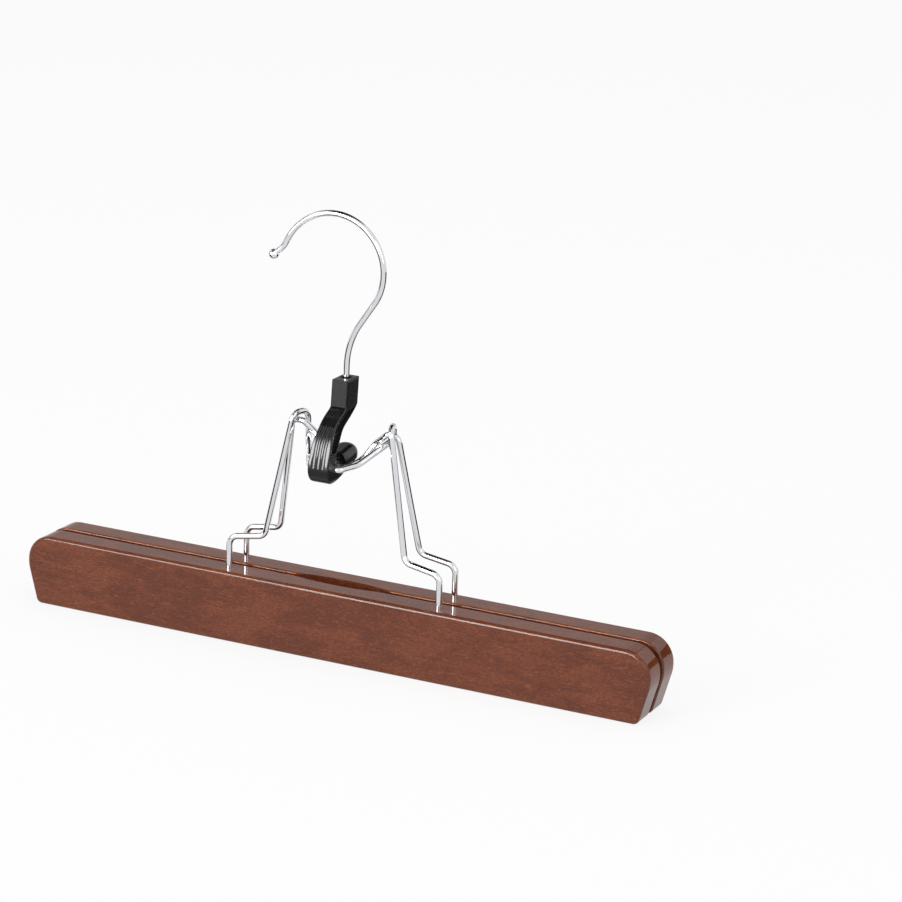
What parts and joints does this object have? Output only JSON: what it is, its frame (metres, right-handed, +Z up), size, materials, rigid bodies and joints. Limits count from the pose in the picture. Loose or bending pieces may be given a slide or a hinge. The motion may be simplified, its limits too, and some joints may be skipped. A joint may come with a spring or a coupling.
{
  "type": "skirt hanger",
  "caption": "Clamp hanger with felt-lined wooden jaws on interlinked wire arms, closed by a cam lever that its own swivel hook pulls shut.",
  "frame": {"origin": "middle of the mouth between the closed jaws, level with the undersides of both bars", "axes": "+X along the jaws, -Y towards the side that the lever's thumb face looks to, +Z up towards the hook"},
  "size_m": [0.32, 0.0406, 0.2075],
  "materials": {
    "lacquered_wood": "gloss lacquer over a reddish-brown stain",
    "felt": "matte",
    "chromed_wire": "polished",
    "black_plastic": "gloss",
    "washer_steel": "plain"
  },
  "bodies": {
    "front_jaw": {"front_bar": "lacquered_wood", "front_felt": "felt", "front_wire": "chromed_wire"},
    "rear_jaw": {"rear_bar": "lacquered_wood", "rear_felt": "felt", "rear_wire": "chromed_wire"},
    "lever": {"clamp_lever": "black_plastic"},
    "swivel_hook": {"hook": "chromed_wire", "hook_washer": "washer_steel"}
  },
  "joints": [
    {"name": "jaw_hinge", "type": "hinge", "parent": "front_jaw", "child": "rear_jaw", "pos_m": [0, 0, 0.1082], "axis": [1, 0, 0], "range_deg": [0, 10]},
    {"name": "lever_pivot", "type": "hinge", "parent": "front_jaw", "child": "lever", "pos_m": [0, -0.019, 0.0941], "axis": [1, 0, 0], "range_deg": [-50, 0]},
    {"name": "hook_swivel", "type": "hinge", "parent": "lever", "child": "swivel_hook", "pos_m": [0, 0, 0.13], "axis": [0, 0, 1], "continuous": true}
  ],
  "couplings": [
    {"joint": "jaw_hinge", "follows": "lever_pivot", "ratio": -0.2}
  ]
}
